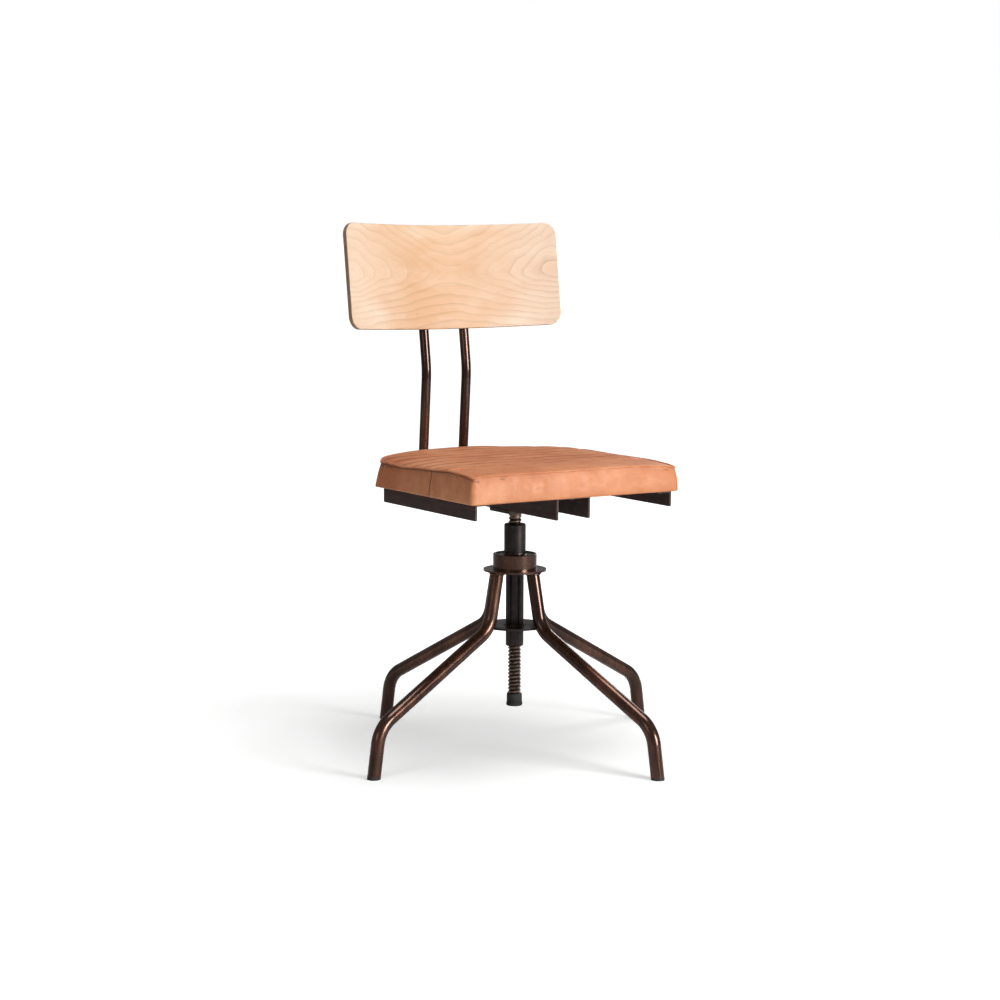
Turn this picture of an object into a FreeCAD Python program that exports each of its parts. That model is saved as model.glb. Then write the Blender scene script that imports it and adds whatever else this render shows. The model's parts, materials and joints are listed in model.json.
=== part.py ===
"""Industrial swivel chair: four bent tube legs, a screw-height spindle, an upholstered
seat on angle-iron rails and a bent plywood backrest on two tubes.

Millimetres. +Z is up, the sitter faces -Y and the origin lies on the floor, on the
swivel axis.
"""
import FreeCAD, Part

import math
import os
import re

import Sketcher
from FreeCAD import Placement, Rotation, Vector

SIZES = {
    # legs
    "leg_diameter": 21.0,
    "leg_wall": 2.0,
    "leg_turn": 13.3,
    "foot_radius": 306.0,
    "foot_tilt": 8.9,
    "ankle_height": 76.8,
    "arm_slope": 27.7,
    "knee_height": 200.8,
    "leg_top_radius": 39.6,
    "ankle_bend": 50.0,
    "knee_bend": 45.0,
    "foot_cap_height": 4.0,
    "foot_plug_length": 14.0,
    "foot_plug_gap": 0.1,
    # hub
    "flange_radius": 50.5,
    "flange_thickness": 3.0,
    "flange_top": 292.4,
    "cup_radius": 35.0,
    "cup_wall": 3.0,
    "cup_top": 317.0,
    "cup_chamfer": 0.8,
    "circlip_depth": 0.4,
    "circlip_thickness": 1.2,
    "circlip_width": 2.6,
    "circlip_groove": 1.2,
    "race_thickness": 4.0,
    "race_inner": 19.0,
    "race_outer": 31.0,
    "ball_radius": 4.1,
    "ball_circle": 25.0,
    "ball_gap": 0.1,
    "cage_thickness": 1.6,
    "cage_margin": 0.5,
    "cage_window_gap": 0.2,
    "disc_radius": 50.3,
    "disc_thickness": 3.0,
    "disc_top": 202.0,
    "bush_radius": 17.0,
    "bush_height": 8.0,
    "bush_lip_width": 1.5,
    "bush_lip_height": 0.8,
    "running_gap": 0.05,
    # nut sleeve
    "tube_radius": 14.4,
    "tube_bottom": 167.6,
    "tube_chamfer": 1.0,
    "shoulder_rise": 1.0,
    "shoulder_length": 3.0,
    "sleeve_radius": 17.35,
    "sleeve_top": 365.0,
    "sleeve_chamfer": 1.6,
    "sleeve_bore": 12.5,
    "collar_radius": 31.4,
    "collar_fillet": 3.0,
    "collar_gap": 0.2,
    "nut_length": 28.0,
    "nut_recess": 2.0,
    "guide_length": 22.0,
    "thread_gap": 0.15,
    # spindle
    "crest_radius": 10.3,
    "root_radius": 8.7,
    "thread_lead": 6.0,
    "thread_open": 3.9,
    "thread_floor": 2.1,
    "thread_bottom": 86.0,
    "thread_top": 377.0,
    "spindle_bottom": 75.6,
    "spindle_chamfer": 1.6,
    "plate_bottom": 385.0,
    "head_radius": 12.5,
    "head_height": 4.0,
    "plate_thickness": 5.0,
    "plate_width": 61.4,
    "plate_length": 60.0,
    "plate_corner": 4.0,
    # end stop
    "cap_radius": 12.25,
    "cap_rim": 13.0,
    "cap_rim_height": 6.0,
    "cap_bottom": 69.7,
    "cap_top": 89.9,
    "cap_chamfer": 1.0,
    "cap_rounding": 2.0,
    "cap_floor_gap": 0.1,
    "cap_recess": 3.0,
    "screw_radius": 3.0,
    "screw_head_radius": 5.4,
    "screw_head": 2.6,
    "screw_head_chamfer": 0.8,
    "screw_head_gap": 0.3,
    "screw_hole_length": 22.0,
    "screw_length": 20.0,
    # seat frame
    "rail_wall": 3.0,
    "centre_rail_width": 30.7,
    "centre_rail_gap": 0.4,
    "centre_rail_front": -167.0,
    "outer_rail_width": 25.0,
    "outer_rail_height": 25.0,
    "outer_rail_reach": 180.5,
    "outer_rail_front": -173.5,
    "outer_rail_back": 106.0,
    "rail_corner": 2.5,
    "crossbar_width": 100.0,
    "crossbar_thickness": 5.0,
    "crossbar_drop": 0.6,
    "wood_screw_radius": 2.0,
    "wood_screw_length": 9.0,
    "wood_screw_head": 2.2,
    "wood_screw_head_radius": 4.0,
    "wood_screw_crown": 2.4,
    "wood_screw_shift": 1.0,
    "outer_screws_front": -130.0,
    "outer_screws_back": 70.0,
    "centre_screws_front": -120.0,
    "centre_screws_back": 110.0,
    # seat
    "seat_bottom": 424.6,
    "seat_top": 471.0,
    "seat_half_width": 190.0,
    "seat_front": -179.0,
    "seat_shoulder": 104.0,
    "seat_back": 214.5,
    "seat_front_corner": 10.0,
    "seat_back_corner": 40.0,
    "cover_thickness": 1.5,
    "board_thickness": 12.0,
    "board_inset": 8.0,
    # back
    "back_tube_radius": 8.0,
    "back_tube_wall": 1.5,
    "back_tube_offset": 38.5,
    "back_tube_depth": 225.8,
    "back_tube_bottom": 392.0,
    "heel_height": 440.0,
    "lumbar_height": 598.0,
    "heel_bend": 150.0,
    "lumbar_bend": 150.0,
    "back_tube_top": 55.0,
    "tube_cap_height": 1.5,
    "tube_cap_plug": 10.0,
    "panel_chord": 400.0,
    "panel_height": 172.0,
    "panel_thickness": 8.5,
    "panel_curve": 527.5,
    "panel_corner": 21.0,
    "panel_edge": 1.6,
    "panel_depth": 181.2,
    "panel_centre_height": 757.25,
    "panel_tilt": 8.07,
    "bolt_radius": 3.0,
    "bolt_hole_gap": 0.2,
    "bolt_head_radius": 5.25,
    "bolt_head_crown": 3.25,
    "bolt_head": 3.3,
    "bolt_upper": 35.0,
    "bolt_lower": -50.0,
    "bolt_bite": 4.2,
    "insert_radius": 4.5,
    "insert_length": 4.6,
    "insert_sink": 1.6,
    "insert_hole_depth": 6.2,
}

LEG_NAMES = ("right", "back", "left", "front")
BALL_COUNT = 14

doc = FreeCAD.newDocument("swivel_chair")
sheet = doc.addObject("Spreadsheet::Sheet", "Size")
for row, (alias, value) in enumerate(SIZES.items(), start=1):
    sheet.set(f"A{row}", alias)
    sheet.set(f"B{row}", str(value))
    sheet.setAlias(f"B{row}", alias)
doc.recompute()

nodes = []


# ---------------------------------------------------------------- small helpers

def bound(formula):
    """A formula of size names, written the way the spreadsheet's expressions need."""
    return re.sub(r"\b([a-z]+_[a-z_]+)\b", r"Size.\1", str(formula))


def value_of(formula):
    """What a formula of size names comes to now."""
    result = sheet.evalExpression(bound(formula))
    return float(getattr(result, "Value", result))


def bind(thing, **formulas):
    """Binds properties to formulas; a double underscore stands for a dot in the path."""
    for path, formula in formulas.items():
        thing.setExpression(path.replace("__", "."), bound(formula))


def node(thing, label):
    """Names a sub-part and lists it for export."""
    thing.Label = label
    nodes.append(thing)
    return thing


def new_body(label):
    return node(doc.addObject("PartDesign::Body", label), label)


def origin_feature(body, role):
    return next(f for f in body.Origin.OriginFeatures if f.Role == role)


def new_sketch(body, role, name="outline"):
    sketch = body.newObject("Sketcher::SketchObject", name)
    sketch.AttachmentSupport = [(origin_feature(body, role), "")]
    sketch.MapMode = "FlatFace"
    return sketch


def pin_point(sketch, geometry, end, across, up):
    """Holds one end of a sketch line at (across, up), each a formula from the origin."""
    for kind, formula in (("DistanceX", across), ("DistanceY", up)):
        index = sketch.addConstraint(
            Sketcher.Constraint(kind, -1, 1, geometry, end, value_of(formula))
        )
        sketch.setExpression(f"Constraints[{index}]", bound(formula))


def polygon(sketch, corners):
    """A closed outline through corners, each a pair of formulas."""
    places = [Vector(value_of(across), value_of(up), 0) for across, up in corners]
    lines = []
    for start, end in zip(places, places[1:] + places[:1]):
        lines.append(sketch.addGeometry(Part.LineSegment(start, end)))
    for line, follower in zip(lines, lines[1:] + lines[:1]):
        sketch.addConstraint(Sketcher.Constraint("Coincident", line, 2, follower, 1))
    for line, (across, up) in zip(lines, corners):
        pin_point(sketch, line, 1, across, up)


def circle(sketch, radius, across="0", up="0"):
    centre = Vector(value_of(across), value_of(up), 0)
    ring = sketch.addGeometry(Part.Circle(centre, Vector(0, 0, 1), value_of(radius)))
    index = sketch.addConstraint(Sketcher.Constraint("Radius", ring, value_of(radius)))
    sketch.setExpression(f"Constraints[{index}]", bound(radius))
    pin_point(sketch, ring, 3, across, up)


def bent_path(sketch, corners, radii):
    """An open path of straight runs with a tangent arc of the given radius at each corner."""
    places = [Vector(value_of(across), value_of(up), 0) for across, up in corners]
    guides = []
    for start, end in zip(places, places[1:]):
        guides.append(sketch.addGeometry(Part.LineSegment(start, end), True))
    for guide, (across, up) in zip(guides, corners):
        pin_point(sketch, guide, 1, across, up)
    pin_point(sketch, guides[-1], 2, *corners[-1])

    starts, ends, arcs = [places[0]], [], []
    for before, corner, after, radius in zip(places, places[1:], places[2:], radii):
        towards = (before - corner).normalize()
        away = (after - corner).normalize()
        half_turn = (math.pi - towards.getAngle(away)) / 2
        reach = value_of(radius) * math.tan(half_turn)
        bulge = value_of(radius) * (1 / math.cos(half_turn) - 1)
        middle = corner + (towards + away).normalize() * bulge
        ends.append(corner + towards * reach)
        starts.append(corner + away * reach)
        arcs.append((ends[-1], middle, starts[-1]))
    ends.append(places[-1])

    runs = [sketch.addGeometry(Part.LineSegment(a, b)) for a, b in zip(starts, ends)]
    sketch.addConstraint(Sketcher.Constraint("Coincident", runs[0], 1, guides[0], 1))
    sketch.addConstraint(Sketcher.Constraint("Coincident", runs[-1], 2, guides[-1], 2))
    for run, guide in zip(runs[:-1], guides[:-1]):
        sketch.addConstraint(Sketcher.Constraint("PointOnObject", run, 2, guide))
    for run, guide in zip(runs[1:], guides[1:]):
        sketch.addConstraint(Sketcher.Constraint("PointOnObject", run, 1, guide))
    for index, (points, radius) in enumerate(zip(arcs, radii)):
        bend = sketch.addGeometry(Part.Arc(*points))
        near = 1 if sketch.getPoint(bend, 1).distanceToPoint(points[0]) < 1e-6 else 2
        for end, run, run_end in ((near, runs[index], 2), (3 - near, runs[index + 1], 1)):
            sketch.addConstraint(Sketcher.Constraint("Tangent", run, run_end, bend, end))
        held = sketch.addConstraint(Sketcher.Constraint("Radius", bend, value_of(radius)))
        sketch.setExpression(f"Constraints[{held}]", bound(radius))


def turned(label, corners):
    """A lathe part: corners are (radius, height) pairs turned about the Z axis."""
    body = new_body(label)
    sketch = new_sketch(body, "XZ_Plane")
    polygon(sketch, corners)
    spin = body.newObject("PartDesign::Revolution", "spin")
    spin.Profile = sketch
    spin.ReferenceAxis = (sketch, ["V_Axis"])
    spin.Angle = 360
    doc.recompute()
    return body


def ring(label, inner, outer, bottom, top):
    """A plain lathe-turned ring."""
    return turned(label, [(inner, bottom), (outer, bottom), (outer, top), (inner, top)])


def swept_tube(body, path, radius, wall):
    """A hollow round tube along a path sketch of the same body."""
    section = body.newObject("Sketcher::SketchObject", "section")
    section.AttachmentSupport = [(path, "Edge1")]
    section.MapMode = "NormalToEdge"
    circle(section, radius)
    circle(section, f"{radius} - {wall}")
    doc.recompute()
    pipe = body.newObject("PartDesign::AdditivePipe", "pipe")
    pipe.Profile = section
    pipe.Spine = (path, [f"Edge{i + 1}" for i in range(len(path.Shape.Edges))])
    doc.recompute()
    return pipe


def edges_where(shape, test):
    return [f"Edge{i + 1}" for i, edge in enumerate(shape.Edges) if test(edge)]


def runs_along(edge, direction):
    """True for a straight edge parallel to the direction."""
    if not isinstance(edge.Curve, (Part.Line, Part.LineSegment)):
        return False
    return abs(edge.tangentAt(edge.FirstParameter).dot(direction)) > 0.999


def rounded(body, base, edges, radius):
    """Rounds the named edges of the feature called base."""
    fillet = body.newObject("PartDesign::Fillet", "rounding")
    fillet.Base = (base, edges)
    bind(fillet, Radius=radius)
    doc.recompute()
    return fillet


def pad(body, sketch, length, middle=False):
    block = body.newObject("PartDesign::Pad", "pad")
    block.Profile = sketch
    bind(block, Length=length)
    if middle:
        block.Midplane = True
    doc.recompute()
    return block


def cut(body, sketch, depth=None, reversed_way=False):
    """A pocket of the given depth, or through everything on both sides of the sketch."""
    before = body.Shape.Volume
    pocket = body.newObject("PartDesign::Pocket", "pocket")
    pocket.Profile = sketch
    pocket.Reversed = reversed_way
    if depth is None:
        pocket.Type = "ThroughAll"
        pocket.Midplane = True
    else:
        bind(pocket, Length=depth)
    doc.recompute()
    if not body.Shape.Volume < before - 0.1:
        raise RuntimeError(f"{body.Label}: a pocket cut nothing")
    return pocket


def primitive(kind, across, depth, height, turn=None, **sizes):
    """A Part cylinder, cone or sphere whose place and sizes are bound to formulas."""
    thing = doc.addObject(f"Part::{kind}", kind)
    if turn is not None:
        thing.Placement.Rotation = turn
    bind(
        thing,
        Placement__Base__x=across,
        Placement__Base__y=depth,
        Placement__Base__z=height,
        **sizes,
    )
    return thing


def combined(kind, base, tool):
    """The union ("Fuse") or the difference ("Cut") of two primitives."""
    result = doc.addObject(f"Part::{kind}", kind)
    result.Base = base
    result.Tool = tool
    return result


def compound(label, pieces):
    """Identical pieces kept together as one node."""
    group = node(doc.addObject("Part::Compound", label), label)
    group.Links = pieces
    return group


# ---------------------------------------------------------------- base

flange_bottom = "flange_top - flange_thickness"
ankle_radius = "foot_radius - ankle_height * tan(foot_tilt * 1deg)"
knee_radius = f"{ankle_radius} - (knee_height - ankle_height) / tan(arm_slope * 1deg)"


def make_leg(side, quarter):
    """One bent tube from its foot to the underside of the flange."""
    body = new_body(f"leg_{side}")
    path = new_sketch(body, "XZ_Plane", "path")
    rise = "foot_cap_height"
    run_out = f"foot_radius - {rise} * tan(foot_tilt * 1deg)"
    knee_run = f"({flange_bottom} - knee_height)"
    overshoot = "flange_thickness * 3"
    beyond = f"leg_top_radius - (({knee_radius}) - leg_top_radius) * {overshoot} / {knee_run}"
    bent_path(
        path,
        [
            (run_out, rise),
            (ankle_radius, "ankle_height"),
            (knee_radius, "knee_height"),
            (beyond, f"{flange_bottom} + {overshoot}"),
        ],
        ["ankle_bend", "knee_bend"],
    )
    doc.recompute()
    swept_tube(body, path, "leg_diameter / 2", "leg_wall")
    trim = new_sketch(body, "XY_Plane", "trim")
    bind(trim, AttachmentOffset__Base__z=flange_bottom)
    circle(trim, "leg_diameter * 2", "leg_top_radius")
    cut(body, trim, "flange_thickness * 8", reversed_way=True)
    body.Placement.Rotation = Rotation(Vector(0, 0, 1), 0)
    bind(body, Placement__Rotation__Angle=f"leg_turn + {90 * quarter}")


def foot_sketch(body, name):
    """A sketch square to the leg's lowest run, centred where that run meets the floor."""
    sketch = new_sketch(body, "XY_Plane", name)
    sketch.AttachmentOffset = Placement(Vector(0, 0, 0), Rotation(Vector(0, 1, 0), 0))
    bind(
        sketch,
        AttachmentOffset__Base__x="foot_radius",
        AttachmentOffset__Rotation__Angle="-foot_tilt",
    )
    return sketch


def make_foot_cap(side, quarter):
    """A plug in the leg's open end with a head that is cut flat on the floor."""
    body = new_body(f"foot_cap_{side}")
    head = foot_sketch(body, "head")
    circle(head, "leg_diameter / 2")
    pad(body, head, "foot_cap_height * 2 / cos(foot_tilt * 1deg)", middle=True)
    plug = foot_sketch(body, "plug")
    circle(plug, "leg_diameter / 2 - leg_wall - foot_plug_gap")
    pad(body, plug, "foot_cap_height + foot_plug_length")
    floor = new_sketch(body, "XY_Plane", "floor")
    circle(floor, "leg_diameter * 2", "foot_radius")
    cut(body, floor, "leg_diameter * 2")
    body.Placement.Rotation = Rotation(Vector(0, 0, 1), 0)
    bind(body, Placement__Rotation__Angle=f"leg_turn + {90 * quarter}")


for quarter, side in enumerate(LEG_NAMES):
    make_leg(side, quarter)
    make_foot_cap(side, quarter)

# the flange and disc that the legs are welded to
tube_hole = "tube_radius + running_gap"
ring("upper_flange", tube_hole, "flange_radius", flange_bottom, "flange_top")
ring("lower_disc", "bush_radius", "disc_radius", "disc_top - disc_thickness", "disc_top")

bush_middle = "disc_top - disc_thickness / 2"
bush_bottom = f"{bush_middle} - bush_height / 2"
bush_lip = "bush_radius + bush_lip_width"
bush_top = "disc_top + bush_lip_height"
turned(
    "lower_bush",
    [
        (tube_hole, bush_bottom),
        ("bush_radius", bush_bottom),
        ("bush_radius", "disc_top"),
        (bush_lip, "disc_top"),
        (bush_lip, bush_top),
        (tube_hole, bush_top),
    ],
)

# the cup on the flange, with a groove for the circlip that keeps the bearing in
cup_bore = "cup_radius - cup_wall"
clip_top = "cup_top - circlip_depth"
clip_bottom = f"{clip_top} - circlip_thickness"
clip_outer = f"{cup_bore} + circlip_groove"
turned(
    "bearing_cup",
    [
        (cup_bore, "flange_top"),
        ("cup_radius", "flange_top"),
        ("cup_radius", "cup_top - cup_chamfer"),
        ("cup_radius - cup_chamfer", "cup_top"),
        (cup_bore, "cup_top"),
        (cup_bore, clip_top),
        (clip_outer, clip_top),
        (clip_outer, clip_bottom),
        (cup_bore, clip_bottom),
    ],
)
ring("cup_circlip", f"{clip_outer} - circlip_width", clip_outer, clip_bottom, clip_top)

# thrust bearing, from the flange up
lower_race_top = "flange_top + race_thickness"
ball_height = f"{lower_race_top} + ball_gap + ball_radius"
upper_race_bottom = f"{ball_height} + ball_radius + ball_gap"
upper_race_top = f"{upper_race_bottom} + race_thickness"
ring("bearing_lower_race", "race_inner", "race_outer", "flange_top", lower_race_top)

cage = new_body("ball_cage")
cage_plan = new_sketch(cage, "XY_Plane", "plan")
bind(cage_plan, AttachmentOffset__Base__z=ball_height)
circle(cage_plan, "race_outer - cage_margin")
circle(cage_plan, "race_inner + cage_margin")
pad(cage, cage_plan, "cage_thickness", middle=True)
cage_window = new_sketch(cage, "XY_Plane", "window")
bind(cage_window, AttachmentOffset__Base__z=ball_height)
circle(cage_window, "ball_radius + cage_window_gap", "ball_circle")
window_cut = cut(cage, cage_window)
windows = cage.newObject("PartDesign::PolarPattern", "windows")
windows.Originals = [window_cut]
windows.Axis = (origin_feature(cage, "Z_Axis"), [""])
windows.Angle = 360
windows.Occurrences = BALL_COUNT
cage.Tip = windows
doc.recompute()

balls = []
for number in range(BALL_COUNT):
    ball_angle = f"({360 / BALL_COUNT * number} * 1deg)"
    across = f"ball_circle * cos({ball_angle})"
    depth = f"ball_circle * sin({ball_angle})"
    balls.append(primitive("Sphere", across, depth, ball_height, Radius="ball_radius"))
compound("bearing_balls", balls)

# ---------------------------------------------------------------- nut sleeve

ring("bearing_upper_race", "race_inner", "race_outer", upper_race_bottom, upper_race_top)

collar_top = f"{clip_bottom} - collar_gap"
fillet_points = [
    (
        f"sleeve_radius + collar_fillet * {1 - math.sin(math.radians(angle))}",
        f"{collar_top} + collar_fillet * {1 - math.cos(math.radians(angle))}",
    )
    for angle in range(0, 91, 15)
]
turned(
    "thrust_collar",
    [
        ("sleeve_radius", upper_race_top),
        ("collar_radius", upper_race_top),
        ("collar_radius", collar_top),
    ]
    + fillet_points,
)

turned(
    "nut_sleeve",
    [
        ("sleeve_bore", "tube_bottom"),
        ("tube_radius - tube_chamfer", "tube_bottom"),
        ("tube_radius", "tube_bottom + tube_chamfer"),
        ("tube_radius", "flange_top + shoulder_rise"),
        ("sleeve_radius", "flange_top + shoulder_rise + shoulder_length"),
        ("sleeve_radius", "sleeve_top - sleeve_chamfer"),
        ("sleeve_radius - sleeve_chamfer", "sleeve_top"),
        ("sleeve_bore", "sleeve_top"),
    ],
)
# the threaded bush near the top and the plain one at the bottom
thread_hole = "crest_radius + thread_gap"
nut_top = "sleeve_top - nut_recess"
ring("spindle_nut", thread_hole, "sleeve_bore", f"{nut_top} - nut_length", nut_top)
ring("guide_bush", thread_hole, "sleeve_bore", "tube_bottom", "tube_bottom + guide_length")

# ---------------------------------------------------------------- end stop

cap_floor = "spindle_bottom - cap_floor_gap"
cap_seat = "cap_bottom + cap_recess"
cap_hollow = "screw_head_radius + screw_head_gap"
screw_hole = "screw_radius + running_gap"
turned(
    "end_cap",
    [
        (screw_hole, cap_seat),
        (cap_hollow, cap_seat),
        (cap_hollow, "cap_bottom"),
        ("cap_rim - cap_chamfer", "cap_bottom"),
        ("cap_rim", "cap_bottom + cap_chamfer"),
        ("cap_rim", "cap_bottom + cap_rim_height - cap_chamfer"),
        ("cap_radius", "cap_bottom + cap_rim_height"),
        ("cap_radius", "cap_top - cap_rounding"),
        ("cap_radius - cap_rounding * 0.3", "cap_top - cap_rounding * 0.3"),
        ("cap_radius - cap_rounding * 0.8", "cap_top"),
        (thread_hole, "cap_top"),
        (thread_hole, cap_floor),
        (screw_hole, cap_floor),
    ],
)

# ---------------------------------------------------------------- spindle and frame

spindle = turned(
    "spindle",
    [
        ("screw_radius", "spindle_bottom"),
        ("root_radius", "spindle_bottom"),
        ("crest_radius", "spindle_bottom + spindle_chamfer"),
        ("crest_radius", "plate_bottom - head_height"),
        ("head_radius", "plate_bottom"),
        ("0", "plate_bottom"),
        ("0", "spindle_bottom + screw_hole_length"),
        ("screw_radius", "spindle_bottom + screw_hole_length"),
    ],
)
groove = new_sketch(spindle, "XZ_Plane", "groove")
groove_start = "thread_bottom - thread_lead"
outside = "crest_radius + 1"
flank = "(thread_open - thread_floor) / 2 / (crest_radius - root_radius)"
mouth = f"(thread_open / 2 + {flank})"
polygon(
    groove,
    [
        ("root_radius", f"{groove_start} - thread_floor / 2"),
        (outside, f"{groove_start} - {mouth}"),
        (outside, f"{groove_start} + {mouth}"),
        ("root_radius", f"{groove_start} + thread_floor / 2"),
    ],
)
doc.recompute()
plain_volume = spindle.Shape.Volume
thread = spindle.newObject("PartDesign::SubtractiveHelix", "thread")
thread.Profile = groove
thread.ReferenceAxis = (groove, ["V_Axis"])
thread.Mode = 0
bind(
    thread,
    Pitch="thread_lead",
    Height="thread_top - thread_bottom + thread_lead",
)
doc.recompute()
if not spindle.Shape.Volume < plain_volume:
    raise RuntimeError("the spindle's thread cut nothing")

turned(
    "end_screw",
    [
        ("0", f"{cap_seat} - screw_head"),
        ("screw_head_radius - screw_head_chamfer", f"{cap_seat} - screw_head"),
        ("screw_head_radius", f"{cap_seat} - screw_head + screw_head_chamfer"),
        ("screw_head_radius", cap_seat),
        ("screw_radius", cap_seat),
        ("screw_radius", "spindle_bottom + screw_length"),
        ("0", "spindle_bottom + screw_length"),
    ],
)

plate = new_body("spindle_plate")
plate_plan = new_sketch(plate, "XY_Plane", "plan")
bind(plate_plan, AttachmentOffset__Base__z="plate_bottom")
polygon(
    plate_plan,
    [
        ("-plate_width / 2", "-plate_length / 2"),
        ("plate_width / 2", "-plate_length / 2"),
        ("plate_width / 2", "plate_length / 2"),
        ("-plate_width / 2", "plate_length / 2"),
    ],
)
plate_block = pad(plate, plate_plan, "plate_thickness")
plate_corners = edges_where(plate_block.Shape, lambda e: runs_along(e, Vector(0, 0, 1)))
rounded(plate, plate_block, plate_corners, "plate_corner")

plate_top = "plate_bottom + plate_thickness"
crossbar_back = "back_tube_depth - back_tube_radius"
crossbar_front = f"{crossbar_back} - crossbar_thickness"


def make_rail(label, hand, outer_face, width, bottom, front, back):
    """An angle iron: its upright face on the outside, its flat face up under the seat."""
    body = new_body(label)
    section = new_sketch(body, "XZ_Plane", "section")
    bind(section, AttachmentOffset__Base__z=f"-({back})")
    corners = [
        (outer_face, bottom),
        (outer_face, "seat_bottom"),
        (f"{outer_face} - ({width})", "seat_bottom"),
        (f"{outer_face} - ({width})", "seat_bottom - rail_wall"),
        (f"{outer_face} - rail_wall", "seat_bottom - rail_wall"),
        (f"{outer_face} - rail_wall", bottom),
    ]
    polygon(section, [(f"{hand} * ({across})", up) for across, up in corners])
    bar = pad(body, section, f"{back} - ({front})")
    low = value_of(bottom) + 0.01

    def lower_end(edge):
        return edge.BoundBox.ZMax < low and runs_along(edge, Vector(1, 0, 0))

    rounded(body, bar, edges_where(bar.Shape, lower_end), "rail_corner")


for side, hand in (("left", -1), ("right", 1)):
    make_rail(
        f"centre_rail_{side}",
        hand,
        "centre_rail_width",
        "centre_rail_width - centre_rail_gap / 2",
        plate_top,
        "centre_rail_front",
        crossbar_front,
    )
    make_rail(
        f"outer_rail_{side}",
        hand,
        "outer_rail_reach",
        "outer_rail_width",
        "seat_bottom - outer_rail_height",
        "outer_rail_front",
        "outer_rail_back",
    )

crossbar = new_body("rear_crossbar")
crossbar_face = new_sketch(crossbar, "XZ_Plane", "face")
bind(crossbar_face, AttachmentOffset__Base__z=f"-({crossbar_back})")
polygon(
    crossbar_face,
    [
        ("-crossbar_width / 2", "back_tube_bottom"),
        ("crossbar_width / 2", "back_tube_bottom"),
        ("crossbar_width / 2", "seat_bottom - crossbar_drop"),
        ("-crossbar_width / 2", "seat_bottom - crossbar_drop"),
    ],
)
crossbar_block = pad(crossbar, crossbar_face, "crossbar_thickness")
crossbar_corners = edges_where(
    crossbar_block.Shape, lambda e: runs_along(e, Vector(0, 1, 0))
)
rounded(crossbar, crossbar_block, crossbar_corners, "rail_corner")

# wood screws up through the rails' flat faces into the seat board
rail_underside = "seat_bottom - rail_wall"
screw_places = []
for reach, front_row, back_row in (
    (
        "(outer_rail_reach - outer_rail_width / 2 - wood_screw_shift)",
        "outer_screws_front",
        "outer_screws_back",
    ),
    (
        "(centre_rail_width / 2 - wood_screw_shift)",
        "centre_screws_front",
        "centre_screws_back",
    ),
):
    for hand in (-1, 1):
        screw_places.append((f"{hand} * {reach}", front_row))
        screw_places.append((f"{hand} * {reach}", back_row))

screws = []
for across, along in screw_places:
    shank = primitive(
        "Cylinder",
        across,
        along,
        rail_underside,
        Radius="wood_screw_radius",
        Height="rail_wall + wood_screw_length",
    )
    head = primitive(
        "Cone",
        across,
        along,
        f"{rail_underside} - wood_screw_head",
        Radius1="wood_screw_crown",
        Radius2="wood_screw_head_radius",
        Height="wood_screw_head",
    )
    screws.append(combined("Fuse", shank, head))
compound("rail_screws", screws)


def drill(body, places, radius, depth):
    """Round holes up from the rails' underside."""
    holes = new_sketch(body, "XY_Plane", "screw_holes")
    bind(holes, AttachmentOffset__Base__z=rail_underside)
    for across, along in places:
        circle(holes, radius, across, along)
    cut(body, holes, depth, reversed_way=True)


def screws_under(body):
    """The screws whose axes pass through a rail."""
    box = body.Shape.BoundBox
    found = []
    for across, along in screw_places:
        inside_x = box.XMin < value_of(across) < box.XMax
        inside_y = box.YMin < value_of(along) < box.YMax
        if inside_x and inside_y:
            found.append((across, along))
    return found


for rail in [thing for thing in nodes if "_rail_" in thing.Label]:
    drill(rail, screws_under(rail), "wood_screw_radius", "rail_wall")

# ---------------------------------------------------------------- seat


def seat_plan(sketch, inset):
    """The D-shaped outline: straight front and sides, one arc across the back."""
    half_width = value_of(f"seat_half_width - {inset}")
    front = value_of(f"seat_front + {inset}")
    shoulder = value_of("seat_shoulder")
    back = value_of(f"seat_back - {inset}")
    corners = [
        Vector(-half_width, shoulder, 0),
        Vector(-half_width, front, 0),
        Vector(half_width, front, 0),
        Vector(half_width, shoulder, 0),
    ]
    lines = [
        sketch.addGeometry(Part.LineSegment(start, end))
        for start, end in zip(corners, corners[1:])
    ]
    bow = sketch.addGeometry(Part.Arc(corners[3], Vector(0, back, 0), corners[0]))
    sketch.addConstraint(Sketcher.Constraint("Coincident", lines[0], 2, lines[1], 1))
    sketch.addConstraint(Sketcher.Constraint("Coincident", lines[1], 2, lines[2], 1))
    sketch.addConstraint(Sketcher.Constraint("Coincident", lines[2], 2, bow, 1))
    sketch.addConstraint(Sketcher.Constraint("Coincident", bow, 2, lines[0], 1))
    pin_point(sketch, lines[0], 1, f"-(seat_half_width - {inset})", "seat_shoulder")
    pin_point(sketch, lines[1], 1, f"-(seat_half_width - {inset})", f"seat_front + {inset}")
    pin_point(sketch, lines[2], 1, f"seat_half_width - {inset}", f"seat_front + {inset}")
    pin_point(sketch, lines[2], 2, f"seat_half_width - {inset}", "seat_shoulder")
    rise = f"(seat_back - {inset} - seat_shoulder)"
    radius = f"((seat_half_width - {inset}) ^ 2 + {rise} ^ 2) / (2 * {rise})"
    held = sketch.addConstraint(Sketcher.Constraint("Radius", bow, value_of(radius)))
    sketch.setExpression(f"Constraints[{held}]", bound(radius))


def front_corner(edge):
    return runs_along(edge, Vector(0, 0, 1)) and edge.CenterOfMass.y < 0


def back_corner(edge):
    """The straight edges where the sides meet the arc, and none of the front's."""
    at_shoulder = abs(edge.CenterOfMass.y - value_of("seat_shoulder")) < 0.01
    return runs_along(edge, Vector(0, 0, 1)) and at_shoulder


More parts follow.
